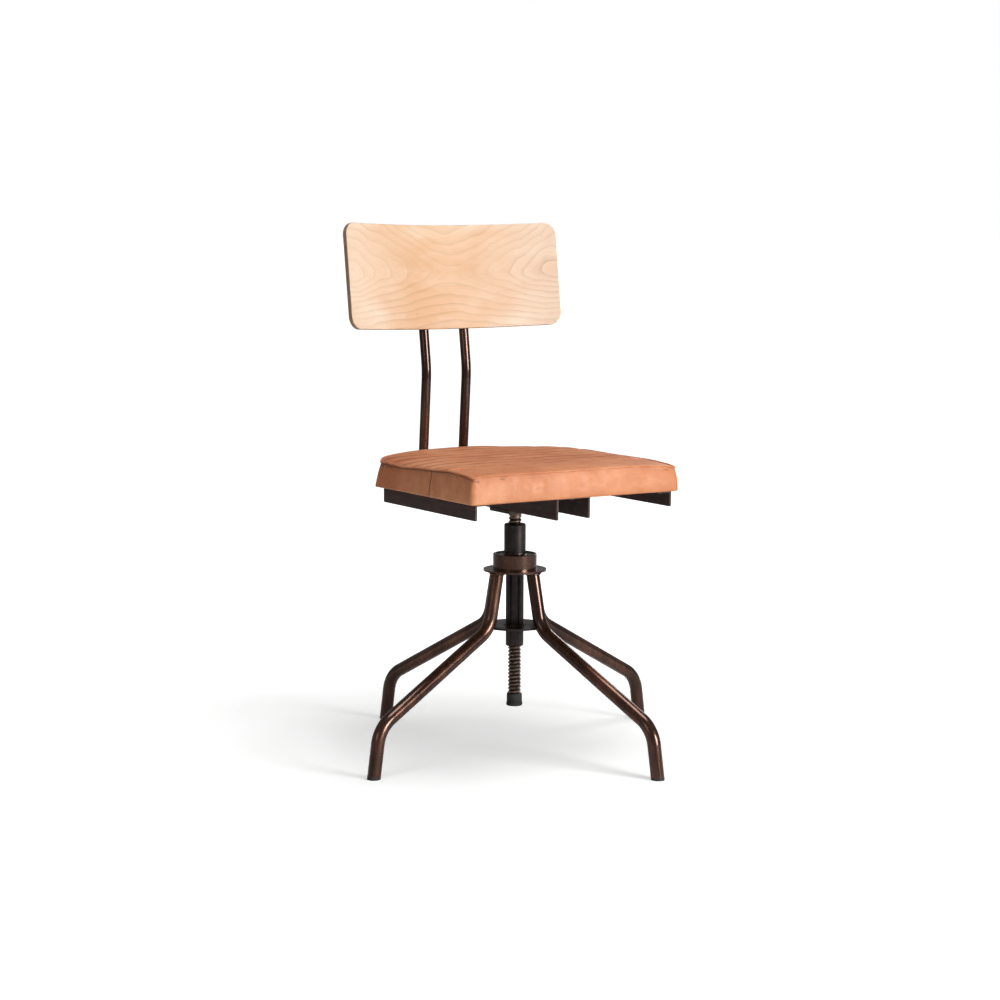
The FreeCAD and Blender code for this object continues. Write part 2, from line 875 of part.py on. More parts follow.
def seat_block(label, inset, bottom, top):
    """A D-shaped slab with rounded corners."""
    body = new_body(label)
    plan = new_sketch(body, "XY_Plane", "plan")
    bind(plan, AttachmentOffset__Base__z=bottom)
    seat_plan(plan, inset)
    slab = pad(body, plan, f"{top} - ({bottom})")
    shoulders = edges_where(slab.Shape, back_corner)
    slab = rounded(body, slab, shoulders, f"seat_back_corner - {inset} / 2")
    corners = edges_where(slab.Shape, front_corner)
    rounded(body, slab, corners, f"seat_front_corner - {inset} / 2")
    return body


def hollow(body, inset, bottom, top):
    """Cuts a D-shaped hollow of the given inset out of a seat block."""
    plan = new_sketch(body, "XY_Plane", "hollow")
    bind(plan, AttachmentOffset__Base__z=bottom)
    seat_plan(plan, inset)
    cut(body, plan, f"{top} - ({bottom})", reversed_way=True)


board_top = "seat_bottom + board_thickness"
board = seat_block("seat_board", "board_inset", "seat_bottom", board_top)
drill(board, screw_places, "wood_screw_radius", "rail_wall + wood_screw_length")

foam_top = "seat_top - cover_thickness"
foam = seat_block("seat_foam", "cover_thickness", "seat_bottom", foam_top)
hollow(foam, "board_inset", "seat_bottom", board_top)

cover = seat_block("seat_cover", "0", "seat_bottom", "seat_top")
hollow(cover, "cover_thickness", "seat_bottom", foam_top)

# ---------------------------------------------------------------- back

TILT_AXIS = Vector(1, 0, 0)
lean = "panel_tilt * 1deg"
# the upper run of each tube touches the back of the curved panel
outer_curve = "(panel_curve + panel_thickness)"
curve_centre = "(sqrt(panel_curve ^ 2 - panel_chord ^ 2 / 4))"
tube_reach = (
    f"(sqrt(({outer_curve} + back_tube_radius) ^ 2 - back_tube_offset ^ 2) - {curve_centre})"
)
top_depth = f"(panel_depth + {tube_reach} * cos({lean}) + back_tube_top * sin({lean}))"
top_height = (
    f"(panel_centre_height - {tube_reach} * sin({lean}) + back_tube_top * cos({lean}))"
)
lumbar_depth = f"({top_depth} - ({top_height} - lumbar_height) * tan({lean}))"
bolt_heights = ("bolt_lower", "bolt_upper")


def lean_back(thing):
    """Puts a piece drawn in the panel's own frame at the panel's place and tilt."""
    thing.Placement = Placement(Vector(0, 0, 0), Rotation(TILT_AXIS, 0))
    bind(
        thing,
        Placement__Base__y="panel_depth",
        Placement__Base__z="panel_centre_height",
        Placement__Rotation__Angle="-panel_tilt",
    )


def make_back_tube(side, hand):
    body = new_body(f"back_tube_{side}")
    path = new_sketch(body, "YZ_Plane", "path")
    bent_path(
        path,
        [
            ("back_tube_depth", "back_tube_bottom"),
            ("back_tube_depth", "heel_height"),
            (lumbar_depth, "lumbar_height"),
            (top_depth, top_height),
        ],
        ["heel_bend", "lumbar_bend"],
    )
    doc.recompute()
    swept_tube(body, path, "back_tube_radius", "back_tube_wall")
    holes = new_sketch(body, "XZ_Plane", "bolt_holes")
    holes.AttachmentOffset = Placement(Vector(0, 0, 0), Rotation(TILT_AXIS, 0))
    bind(
        holes,
        AttachmentOffset__Base__y="panel_centre_height",
        AttachmentOffset__Base__z="-panel_depth",
        AttachmentOffset__Rotation__Angle="-panel_tilt",
    )
    for height in bolt_heights:
        circle(holes, "bolt_radius + bolt_hole_gap", "0", height)
    cut(body, holes)
    bind(body, Placement__Base__x=f"{hand} * back_tube_offset")


for side, hand in (("left", -1), ("right", 1)):
    make_back_tube(side, hand)

panel = new_body("backrest_panel")
panel_section = new_sketch(panel, "YZ_Plane", "section")
polygon(
    panel_section,
    [
        ("panel_curve", "-panel_height / 2"),
        ("panel_curve + panel_thickness", "-panel_height / 2"),
        ("panel_curve + panel_thickness", "panel_height / 2"),
        ("panel_curve", "panel_height / 2"),
    ],
)
panel_sweep = panel.newObject("PartDesign::Revolution", "bend")
panel_sweep.Profile = panel_section
panel_sweep.ReferenceAxis = (panel_section, ["V_Axis"])
panel_sweep.Midplane = True
bind(panel_sweep, Angle="2 * asin(panel_chord / 2 / panel_curve)")
doc.recompute()


def panel_corner(edge):
    """The short edges through the panel's thickness."""
    return abs(edge.Length - value_of("panel_thickness")) < 0.01


corner_edges = edges_where(panel_sweep.Shape, panel_corner)
corners_rounded = rounded(panel, panel_sweep, corner_edges, "panel_corner")


def face_outline(edge):
    """The edges round the front and back faces, not those through the thickness."""
    return edge.Length > value_of("panel_thickness") + 1


outline_edges = edges_where(corners_rounded.Shape, face_outline)
rounded(panel, corners_rounded, outline_edges, "panel_edge")
panel_holes = new_sketch(panel, "XZ_Plane", "insert_holes")
bind(
    panel_holes,
    AttachmentOffset__Base__z="-(panel_curve + panel_thickness - insert_hole_depth)",
)
for hand in (-1, 1):
    for height in bolt_heights:
        circle(panel_holes, "insert_radius", f"{hand} * back_tube_offset", height)
cut(panel, panel_holes, "insert_hole_depth * 2")
lean_back(panel)
bind(
    panel,
    Placement__Base__y=f"panel_depth - {curve_centre} * cos({lean})",
    Placement__Base__z=f"panel_centre_height + {curve_centre} * sin({lean})",
)

# bolts through the tubes, the inserts they bite in and the tubes' end caps
TOWARDS_PANEL = Rotation(Vector(1, 0, 0), 90)
bolt_start = f"{tube_reach} + back_tube_radius"
panel_back = f"{outer_curve} - {curve_centre}"
bolts, inserts, tube_caps = [], [], []
for hand in (-1, 1):
    across = f"{hand} * back_tube_offset"
    for height in bolt_heights:
        shank = primitive(
            "Cylinder",
            across,
            bolt_start,
            height,
            TOWARDS_PANEL,
            Radius="bolt_radius",
            Height="back_tube_radius * 2 + bolt_bite",
        )
        head = primitive(
            "Cone",
            across,
            f"{bolt_start} + bolt_head",
            height,
            TOWARDS_PANEL,
            Radius1="bolt_head_crown",
            Radius2="bolt_head_radius",
            Height="bolt_head",
        )
        bolts.append(combined("Fuse", shank, head))
        insert = primitive(
            "Cylinder",
            across,
            f"{panel_back} - insert_sink",
            height,
            TOWARDS_PANEL,
            Radius="insert_radius",
            Height="insert_length",
        )
        bore = primitive(
            "Cylinder",
            across,
            panel_back,
            height,
            TOWARDS_PANEL,
            Radius="bolt_radius",
            Height="insert_length * 2",
        )
        inserts.append(combined("Cut", insert, bore))

    plug = primitive(
        "Cylinder",
        across,
        tube_reach,
        "back_tube_top - tube_cap_plug",
        Radius="back_tube_radius - back_tube_wall",
        Height="tube_cap_plug + tube_cap_height",
    )
    lid = primitive(
        "Cylinder",
        across,
        tube_reach,
        "back_tube_top",
        Radius="back_tube_radius",
        Height="tube_cap_height",
    )
    tube_caps.append(combined("Fuse", plug, lid))

lean_back(compound("backrest_bolts", bolts))
lean_back(compound("backrest_inserts", inserts))
lean_back(compound("back_tube_caps", tube_caps))

# ---------------------------------------------------------------- check and write

doc.recompute()
for thing in doc.Objects:
    if {"Invalid", "Error"} & set(thing.State):
        raise RuntimeError(f"{thing.Label} did not rebuild: {thing.State}")
for piece in nodes:
    if piece.Shape.isNull() or not piece.Shape.isValid():
        raise RuntimeError(f"{piece.Label} has no valid shape")

os.makedirs("parts", exist_ok=True)
for piece in nodes:
    piece.Shape.exportStep(f"parts/{piece.Label}.step")
    box = piece.Shape.BoundBox
    print(
        f"{piece.Label:22} {len(piece.Shape.Solids):3} solids "
        f"{piece.Shape.Volume / 1000:9.2f} cm3  "
        f"z {box.ZMin:.1f} to {box.ZMax:.1f}"
    )
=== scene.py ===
"""Looks of the screw-height swivel chair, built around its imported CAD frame."""
import json
import math

import bpy
from mathutils import Matrix, Vector, noise
from mathutils.bvhtree import BVHTree


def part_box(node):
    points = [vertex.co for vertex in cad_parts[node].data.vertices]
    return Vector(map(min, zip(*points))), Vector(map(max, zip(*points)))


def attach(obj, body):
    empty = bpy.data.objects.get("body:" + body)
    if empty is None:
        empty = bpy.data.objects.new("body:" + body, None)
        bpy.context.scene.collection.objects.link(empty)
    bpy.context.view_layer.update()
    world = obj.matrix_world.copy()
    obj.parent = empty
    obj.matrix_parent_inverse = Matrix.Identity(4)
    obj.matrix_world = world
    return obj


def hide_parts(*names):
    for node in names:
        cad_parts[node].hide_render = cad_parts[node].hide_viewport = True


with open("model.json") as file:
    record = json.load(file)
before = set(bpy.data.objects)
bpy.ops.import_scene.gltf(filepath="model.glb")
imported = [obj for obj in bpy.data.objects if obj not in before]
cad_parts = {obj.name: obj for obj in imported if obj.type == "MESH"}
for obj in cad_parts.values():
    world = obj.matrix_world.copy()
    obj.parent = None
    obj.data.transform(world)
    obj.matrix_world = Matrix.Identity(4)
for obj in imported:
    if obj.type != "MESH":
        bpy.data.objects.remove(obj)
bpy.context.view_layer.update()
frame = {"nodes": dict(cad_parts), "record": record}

MM = 0.001
SCENE = bpy.context.scene
NODES = frame["nodes"]


# ---------------------------------------------------------------- node materials


def srgb(text):
    """A linear colour from a six-digit screen colour."""
    parts = [int(text[i:i + 2], 16) / 255 for i in (0, 2, 4)]
    linear = [c / 12.92 if c <= 0.04045 else ((c + 0.055) / 1.055) ** 2.4 for c in parts]
    return (*linear, 1.0)


class Finish:
    """One node material with short calls for the nodes that the finishes here share."""

    def __init__(self, name, **sockets):
        self.material = bpy.data.materials.new(name)
        self.material.use_nodes = True
        self.tree = self.material.node_tree
        self.shader = self.tree.nodes["Principled BSDF"]
        for socket, value in sockets.items():
            self.shader.inputs[socket.replace("_", " ")].default_value = value
        self.place = self.node("TexCoord").outputs["Object"]

    def node(self, kind, **settings):
        """A new node of a kind, with its settings."""
        made = self.tree.nodes.new("ShaderNode" + kind)
        for key, value in settings.items():
            setattr(made, key, value)
        return made

    def feed(self, socket, value):
        """Links an output to a socket, or writes a plain value into it."""
        if isinstance(value, bpy.types.NodeSocket):
            self.tree.links.new(value, socket)
        else:
            socket.default_value = value

    def math(self, operation, *values):
        """The result of one sum on numbers or outputs."""
        made = self.node("Math", operation=operation)
        for socket, value in zip(made.inputs, values):
            self.feed(socket, value)
        return made.outputs[0]

    def axes(self, place=None):
        """The three coordinates of a place, in metres."""
        made = self.node("SeparateXYZ")
        self.feed(made.inputs[0], self.place if place is None else place)
        return made.outputs

    def reach(self):
        """How far a place lies from the swivel axis, in metres."""
        x, y, _ = self.axes()
        squares = self.math("ADD", self.math("MULTIPLY", x, x), self.math("MULTIPLY", y, y))
        return self.math("SQRT", squares)

    def stretched(self, x, y, z, place=None):
        """The place with its axes scaled, so that a pattern draws out along one."""
        made = self.node("VectorMath", operation="MULTIPLY")
        self.feed(made.inputs[0], self.place if place is None else place)
        made.inputs[1].default_value = (x, y, z)
        return made.outputs[0]

    def noise(self, scale, detail=3.0, roughness=0.55, place=None, distortion=0.0):
        """Soft cloudy noise, about 0.3 to 0.7 for the most part."""
        made = self.node("TexNoise")
        self.feed(made.inputs["Vector"], self.place if place is None else place)
        made.inputs["Scale"].default_value = scale
        made.inputs["Detail"].default_value = detail
        made.inputs["Roughness"].default_value = roughness
        made.inputs["Distortion"].default_value = distortion
        return made.outputs["Fac"]

    def cells(self, scale):
        """Distance to the borders between irregular cells."""
        made = self.node("TexVoronoi", feature="DISTANCE_TO_EDGE")
        self.feed(made.inputs["Vector"], self.place)
        made.inputs["Scale"].default_value = scale
        return made.outputs["Distance"]

    def ramp(self, value, *stops, smooth=False):
        """A colour ramp of (position, colour or grey) stops."""
        made = self.node("ValToRGB")
        if smooth:
            made.color_ramp.interpolation = "EASE"
        while len(made.color_ramp.elements) < len(stops):
            made.color_ramp.elements.new(0.5)
        for element, (position, colour) in zip(made.color_ramp.elements, stops):
            element.position = position
            grey = isinstance(colour, (int, float))
            element.color = (colour, colour, colour, 1.0) if grey else colour
        self.feed(made.inputs["Fac"], value)
        return made.outputs["Color"]

    def remap(self, value, low, high, to_low=0.0, to_high=1.0):
        """A value carried from one range to another, and held at its ends."""
        made = self.node("MapRange", clamp=True)
        for socket, given in zip(made.inputs, (value, low, high, to_low, to_high)):
            self.feed(socket, given)
        return made.outputs[0]

    def mix(self, share, first, second):
        """Two colours blended: all first at share 0, all second at 1."""
        made = self.node("Mix", data_type="RGBA", blend_type="MIX")
        self.feed(made.inputs[0], share)
        self.feed(made.inputs[6], first)
        self.feed(made.inputs[7], second)
        return made.outputs[2]

    def bump(self, height, distance, strength=1.0, over=None):
        """A normal bent by a height pattern, on top of another bump if one is given."""
        made = self.node("Bump")
        made.inputs["Strength"].default_value = strength
        made.inputs["Distance"].default_value = distance
        self.feed(made.inputs["Height"], height)
        if over is not None:
            self.feed(made.inputs["Normal"], over)
        return made.outputs["Normal"]

    def edge_wear(self, width):
        """1 on sharp edges and 0 on open faces."""
        made = self.node("Bevel", samples=6)
        made.inputs["Radius"].default_value = width
        geometry = self.node("NewGeometry")
        compare = self.node("VectorMath", operation="DOT_PRODUCT")
        self.feed(compare.inputs[0], made.outputs[0])
        self.feed(compare.inputs[1], geometry.outputs["Normal"])
        return self.remap(compare.outputs["Value"], 0.985, 0.80)

    def finish(self, colour=None, roughness=None, normal=None, metallic=None):
        """Feeds the shader and gives back the material."""
        given = {
            "Base Color": colour,
            "Roughness": roughness,
            "Normal": normal,
            "Metallic": metallic,
        }
        for name, value in given.items():
            if value is not None:
                self.feed(self.shader.inputs[name], value)
        return self.material


def bronze_lacquer():
    """Dark brown tube lacquer: coppery where it is thin, nearly black where it pools."""
    f = Finish("bronze_lacquer", Coat_Weight=0.35, Coat_Roughness=0.07, IOR=1.5)
    pooled = f.noise(14, 4, 0.6, f.stretched(1, 1, 0.45))
    streak = f.noise(90, 3, 0.6, f.stretched(1, 1, 0.12))
    tone = f.math("ADD", f.math("MULTIPLY", pooled, 0.7), f.math("MULTIPLY", streak, 0.3))
    colour = f.ramp(tone, (0.30, srgb("33221e")), (0.50, srgb("4e352b")), (0.70, srgb("77503e")))
    specks = f.remap(f.noise(420, 2, 0.5), 0.74, 0.80)
    colour = f.mix(specks, colour, srgb("7d543d"))
    worn = f.math("MULTIPLY", f.edge_wear(0.8 * MM), f.remap(f.noise(160, 2), 0.44, 0.64))
    colour = f.mix(worn, colour, srgb("9a6a4a"))
    rough = f.remap(pooled, 0.3, 0.7, 0.18, 0.30)
    normal = f.bump(f.noise(260, 2, 0.5), 0.05 * MM, 0.5)
    normal = f.bump(f.noise(30, 3, 0.5), 0.25 * MM, 0.35, over=normal)
    return f.finish(colour, rough, normal, 0.9)


def gunmetal_lacquer():
    """Near-black satin lacquer of the turned sleeve."""
    f = Finish("gunmetal_lacquer", Coat_Weight=0.25, Coat_Roughness=0.22, IOR=1.5)
    cloud = f.noise(35, 4, 0.6)
    lathe = f.noise(700, 2, 0.6, f.stretched(0.04, 0.04, 1))
    colour = f.ramp(cloud, (0.32, srgb("201b1b")), (0.68, srgb("3c3230")))
    worn = f.math("MULTIPLY", f.edge_wear(0.7 * MM), f.remap(f.noise(220, 2), 0.42, 0.60))
    colour = f.mix(worn, colour, srgb("6e5a4e"))
    rough = f.remap(lathe, 0.3, 0.7, 0.30, 0.46)
    return f.finish(colour, rough, f.bump(lathe, 0.03 * MM, 0.6), 0.85)


def blackened_iron():
    """Flat black-brown angle iron with mill scale and rubbed edges."""
    f = Finish("blackened_iron", IOR=1.45)
    scale = f.noise(60, 5, 0.65)
    rolled = f.noise(240, 3, 0.6, f.stretched(1, 0.05, 1))
    tone = f.math("ADD", f.math("MULTIPLY", scale, 0.6), f.math("MULTIPLY", rolled, 0.4))
    colour = f.ramp(tone, (0.34, srgb("362a28")), (0.52, srgb("4a3a36")), (0.70, srgb("604d46")))
    worn = f.math("MULTIPLY", f.edge_wear(0.9 * MM), f.remap(f.noise(130, 3), 0.38, 0.64))
    colour = f.mix(worn, colour, srgb("8b7568"))
    rough = f.remap(scale, 0.3, 0.7, 0.48, 0.66)
    normal = f.bump(rolled, 0.06 * MM, 0.6)
    normal = f.bump(f.noise(420, 3, 0.6), 0.05 * MM, 0.5, over=normal)
    return f.finish(colour, rough, normal, 0.45)


def spindle_steel():
    """Oiled screw: bright brown crests over black roots."""
    f = Finish("spindle_steel", IOR=1.5)
    reach = f.reach()
    crest = f.remap(reach, 9.0 * MM, 10.2 * MM)
    grime = f.noise(180, 4, 0.65)
    colour = f.mix(crest, srgb("2a211f"), srgb("8e7366"))
    colour = f.mix(f.remap(grime, 0.45, 0.70), colour, srgb("2a1e1a"))
    rough = f.remap(grime, 0.3, 0.7, 0.28, 0.50)
    return f.finish(colour, rough, f.bump(grime, 0.05 * MM, 0.5), 0.8)


def plain_metal(name, light, dark, metallic, rough):
    """Small turned or pressed metal parts."""
    f = Finish(name, IOR=1.5)
    turned = f.noise(500, 3, 0.6, f.stretched(0.1, 0.1, 1))
    colour = f.mix(f.remap(f.noise(70, 3), 0.35, 0.65), srgb(dark), srgb(light))
    rough_map = f.remap(turned, 0.3, 0.7, rough * 0.8, rough * 1.3)
    return f.finish(colour, rough_map, f.bump(turned, 0.02 * MM, 0.5), metallic)


def black_rubber(name, tone, gloss):
    """Moulded rubber or plastic with a fine matt skin."""
    f = Finish(name, IOR=1.5)
    dust = f.noise(55, 4, 0.6)
    colour = f.mix(f.remap(dust, 0.42, 0.75), srgb(tone), srgb("45403e"))
    skin = f.noise(1500, 2, 0.5)
    rough = f.remap(dust, 0.3, 0.7, gloss, gloss + 0.15)
    return f.finish(colour, rough, f.bump(skin, 0.03 * MM, 0.5))


def leather():
    """Tan semi-aniline leather: pebbled grain, soft creases, darker seam lines, and painted shade
    in the channel grooves and under the welt.
    """
    f = Finish("tan_leather", IOR=1.42, Specular_IOR_Level=0.38)
    broad = f.noise(9, 4, 0.55)
    patch = f.noise(38, 4, 0.6)
    pores = f.cells(1100)
    colour = f.ramp(broad, (0.34, srgb("cc7e52")), (0.50, srgb("db8e62")), (0.66, srgb("e79e71")))
    colour = f.mix(f.remap(patch, 0.35, 0.72, 0.0, 0.5), colour, srgb("c2714a"))
    rubbed = f.remap(f.noise(70, 3, 0.6, f.stretched(0.35, 1, 1)), 0.56, 0.80, 0.0, 0.45)
    colour = f.mix(rubbed, colour, srgb("f0ae82"))
    seam = f.node("Attribute", attribute_name="seam").outputs["Fac"]
    # the seam attribute darkens the seam lines and also paints shade into the channel grooves and
    # a shadow under the welt
    colour = f.mix(f.math("MULTIPLY", seam, 0.95), colour, srgb("42190c"))
    colour = f.mix(f.remap(pores, 0.0, 0.06, 0.22, 0.0), colour, srgb("94492a"))
    rough = f.remap(patch, 0.3, 0.7, 0.34, 0.50)
    crease = f.noise(120, 4, 0.62, f.stretched(1, 0.6, 1), distortion=0.6)
    normal = f.bump(pores, 0.07 * MM, 0.55)
    normal = f.bump(crease, 0.8 * MM, 0.6, over=normal)
    normal = f.bump(f.noise(420, 3, 0.6), 0.08 * MM, 0.5, over=normal)
    return f.finish(colour, rough, normal)


def thread():
    """Waxed sewing thread."""
    f = Finish("waxed_thread", IOR=1.5, Sheen_Weight=0.15)
    lay = f.noise(2600, 2, 0.5, f.stretched(0.4, 1, 1))
    colour = f.mix(f.remap(lay, 0.35, 0.65), srgb("7c3f22"), srgb("b8703f"))
    return f.finish(colour, 0.55, f.bump(lay, 0.05 * MM, 0.7))


def plywood_board():
    """Plain plywood of the seat board, with its plies at the edge."""
    f = Finish("board_plywood", IOR=1.45)
    fibre = f.noise(150, 5, 0.65, f.stretched(0.06, 1, 1))
    _, _, z = f.axes()
    plies = f.math("FRACT", f.math("MULTIPLY", z, 1 / (3.0 * MM)))
    colour = f.ramp(fibre, (0.32, srgb("9a7a55")), (0.66, srgb("c7a577")))
    colour = f.mix(f.remap(plies, 0.42, 0.5, 0.0, 0.25), colour, srgb("6f5236"))
    return f.finish(colour, 0.72, f.bump(fibre, 0.12 * MM, 0.6))


def maple_veneer():
    """Pale rotary-cut veneer with a bow-tie figure, grey-brown plies at the edges, and painted
    light that makes both ends paler.
    """
    f = Finish("maple_veneer", IOR=1.45, Coat_Weight=0.10, Coat_Roughness=0.35)
    centre = f.node("VectorMath", operation="SUBTRACT")
    f.feed(centre.inputs[0], f.place)
    centre.inputs[1].default_value = (panel_low + panel_high) / 2
    turn = f.node("VectorRotate", rotation_type="X_AXIS")
    f.feed(turn.inputs["Vector"], centre.outputs[0])
    turn.inputs["Angle"].default_value = PANEL_TILT
    panel = turn.outputs[0]
    x, y, z = f.axes(panel)
    u = f.math("DIVIDE", x, panel_high.x)
    v = f.math("DIVIDE", z, PANEL_HEIGHT / 2)
    drift = f.noise(5.5, 2, 0.5, f.stretched(1, 0, 1.6, panel))
    lean = f.noise(6.5, 2, 0.5, f.stretched(1.4, 0, 1.2, panel))
    waver = f.noise(30, 3, 0.5, f.stretched(0.45, 0, 1.6, panel))

    def away(value, middle):
        """Distance from a middle, rounded off at the middle itself."""
        rounding = 0.12
        offset = f.math("SUBTRACT", value, middle)
        square = f.math("MULTIPLY", offset, offset)
        return f.math("SQRT", f.math("ADD", square, rounding * rounding))

    # the saddle: loops point inwards from both ends, and the lines above and below bow to it
    across = f.math("ADD", u, f.remap(lean, 0.2, 0.8, -0.22, 0.22))
    over = f.math("ADD", v, f.remap(drift, 0.2, 0.8, -0.15, 0.15))
    spread = f.remap(v, -0.85, 0.0, 0.30, 1.18)
    field = f.math("MULTIPLY", away(across, 0.03), spread)
    field = f.math("SUBTRACT", field, away(over, 0.05))
    field = f.math("ADD", field, f.math("MULTIPLY", waver, 0.06))
    rings = f.math("FRACT", f.math("MULTIPLY", field, 5.0))
    late = f.ramp(rings, (0.0, 0.0), (0.55, 0.08), (0.90, 0.55), (0.965, 1.0), (1.0, 0.0))
    rings_fine = f.math("FRACT", f.math("MULTIPLY", field, 17.0))
    late_fine = f.ramp(rings_fine, (0.0, 0.0), (0.7, 0.25), (0.95, 1.0), (1.0, 0.0))

    fibre = f.noise(900, 3, 0.6, f.stretched(0.03, 0.3, 1, panel))
    cloud = f.noise(9, 3, 0.5, f.stretched(0.7, 1, 1.3, panel))
    pale = f.ramp(cloud, (0.36, srgb("d8a880")), (0.52, srgb("e2bc9b")), (0.64, srgb("eaceb6")))
    warm = f.remap(f.noise(15, 3, 0.5, f.stretched(0.5, 1, 1.2, panel)), 0.42, 0.64, 0.0, 0.8)
    pale = f.mix(warm, pale, srgb("d9a274"))
    # painted light: both ends are paler, standing in for light that the curved ends, turned away
    # from the key, do not get
    ends = f.remap(f.math("ABSOLUTE", u), 0.30, 0.85, 0.0, 0.55)
    pale = f.mix(ends, pale, srgb("f0d9c6"))
    strength = f.remap(f.noise(13, 2, 0.5, f.stretched(0.5, 1, 1, panel)), 0.36, 0.64, 0.30, 1.0)
    colour = f.mix(f.math("MULTIPLY", late, f.math("MULTIPLY", strength, 0.46)), pale,
                   srgb("ac7a52"))
    colour = f.mix(f.math("MULTIPLY", late_fine, 0.11), colour, srgb("b98862"))
    colour = f.mix(f.remap(fibre, 0.52, 0.74, 0.0, 0.16), colour, srgb("a97c50"))
    flecks = f.remap(f.noise(500, 2, 0.5, f.stretched(0.12, 1, 1, panel)), 0.70, 0.78, 0, 0.35)
    colour = f.mix(flecks, colour, srgb("94663f"))

    # plies show where the surface lies inside the panel's thickness
    depth = f.math("SUBTRACT", y, PANEL_AXIS)
    square = f.math("ADD", f.math("MULTIPLY", x, x), f.math("MULTIPLY", depth, depth))
    inside = f.math("SUBTRACT", f.math("SQRT", square), PANEL_CURVE)
    front_side = f.remap(inside, 0.5 * MM, 1.2 * MM)
    back_side = f.remap(inside, PANEL_THICKNESS - 1.2 * MM, PANEL_THICKNESS - 0.5 * MM, 1.0, 0.0)
    edge = f.math("MULTIPLY", front_side, back_side)
    ply = f.math("FRACT", f.math("DIVIDE", inside, 1.7 * MM))
    grain_end = f.noise(700, 2, 0.5, f.stretched(1, 1, 0.15, panel))
    ply_colour = f.ramp(ply, (0.0, srgb("b8967a")), (0.46, srgb("cdab8c")), (0.54, srgb("8a6b56")),
                        (0.97, srgb("a07f68")))
    ply_colour = f.mix(f.remap(grain_end, 0.4, 0.7, 0, 0.4), ply_colour, srgb("583f31"))
    colour = f.mix(edge, colour, ply_colour)
    rough = f.remap(fibre, 0.3, 0.7, 0.46, 0.60)
    normal = f.bump(fibre, 0.03 * MM, 0.5)
    normal = f.bump(late, 0.02 * MM, 0.4, over=normal)
    return f.finish(colour, rough, normal)


# ---------------------------------------------------------------- sizes from the frame

cover_low, cover_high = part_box("seat_cover")
panel_low, panel_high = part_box("backrest_panel")
flange_low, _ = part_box("upper_flange")
disc_low, disc_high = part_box("lower_disc")
plate_low, plate_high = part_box("spindle_plate")

PANEL_TILT = math.radians(8.07)
PANEL_HEIGHT = 172 * MM
PANEL_THICKNESS = 8.5 * MM
PANEL_CURVE = 527.5 * MM


def panel_axis():
    """How far the panel's box middle lies behind its curve's own centre line."""
    middle = (panel_low + panel_high) / 2
    turned = Matrix.Rotation(PANEL_TILT, 3, "X")
    back = max((turned @ (v.co - middle)).y for v in NODES["backrest_panel"].data.vertices)
    return back - (PANEL_CURVE + PANEL_THICKNESS)


PANEL_AXIS = panel_axis()

FINISHES = {
    "bronze_lacquer": bronze_lacquer(),
    "gunmetal_lacquer": gunmetal_lacquer(),
    "blackened_iron": blackened_iron(),
    "spindle_steel": spindle_steel(),
    "bearing_steel": plain_metal("bearing_steel", "c9cbcf", "a9abb0", 1.0, 0.16),
    "bearing_brass": plain_metal("bearing_brass", "8a6a3a", "4e3a24", 0.9, 0.36),
    "fastener_steel": plain_metal("fastener_steel", "8f8a84", "5c5651", 0.9, 0.34),
    "black_rubber": black_rubber("black_rubber", "1c1a1a", 0.58),
    "black_plastic": black_rubber("black_plastic", "202022", 0.42),
    "seat_leather": leather(),
    "board_plywood": plywood_board(),
    "back_veneer": maple_veneer(),
}
THREAD = thread()


def dress_cad_nodes():
    """Gives every CAD node that stays the finish of its slot in the record."""
    for row in frame["record"]["subparts"]:
        look = FINISHES.get(row["material_slot"])
        if look is None:
            continue
        mesh = NODES[row["node"]].data
        mesh.materials.clear()
        mesh.materials.append(look)
        for face in mesh.polygons:
            face.material_index = 0


dress_cad_nodes()


def add_piece(name, mesh, look, body="seat"):
    """Links a finished mesh as a piece that rides on a body."""
    piece = bpy.data.objects.new(name, mesh)
    SCENE.collection.objects.link(piece)
    mesh.materials.clear()
    mesh.materials.append(look)
    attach(piece, body)
    return piece


def mesh_from(name, places, faces, smooth=True):
    """A mesh from places and faces, shaded smooth or flat."""
    mesh = bpy.data.meshes.new(name)
    mesh.from_pydata([tuple(p) for p in places], [], faces)
    mesh.update()
    for face in mesh.polygons:
        face.use_smooth = smooth
    return mesh


def smooth_step(value):
    """0 up to 0 and 1 from 1, with a soft rise between them."""
    value = max(0.0, min(1.0, value))
    return value * value * (3 - 2 * value)


# ---------------------------------------------------------------- seat cushion

HALF = cover_high.x
FRONT = cover_low.y
BACK = cover_high.y
SHOULDER = 104 * MM
SEAT_BOTTOM = cover_low.z - 0.5 * MM
SIDE_STARTS = HALF * 0.8
CORNERS = [(side * HALF, y) for y in (FRONT, SHOULDER) for side in (1, -1)]

SEAM_INSET = 3.0 * MM
CROWN = 5.0 * MM
CELL = 3.3 * MM
CHANNEL = 32.6 * MM
FIRST_SEAM = -88 * MM
SEAM_COUNT = 9
SEAMS = [FIRST_SEAM + CHANNEL * k for k in range(SEAM_COUNT)]
SIDE_SEAM = -56 * MM
HEM = 26 * MM
CORNER = 7 * MM
PUFF = 2.4 * MM
SIDE_BANDS = 11

WELT_LEVEL = 466.4 * MM
WELT_RADIUS = 1.5 * MM
WELT_RIPPLE = 1.2 * MM
LEFT_SAG = 3.4 * MM
LEFT_LIFT = 2.6 * MM
RIGHT_DIP = 2.6 * MM
CORNER_DROOP = 2.6 * MM

CLOTH_PRESSURE = 4.0
CLOTH_FRAMES = 20
MOVE_CAP = 2.6 * MM

HEM_FLARE = 2.2 * MM
LOOSE_FLARE = 4.5 * MM
SIDE_SWELL = 1.6 * MM
WELT_PINCH = 1.1 * MM

SEAM_SUNK = 1.0 * MM
SEAM_WIDTH = 1.7 * MM
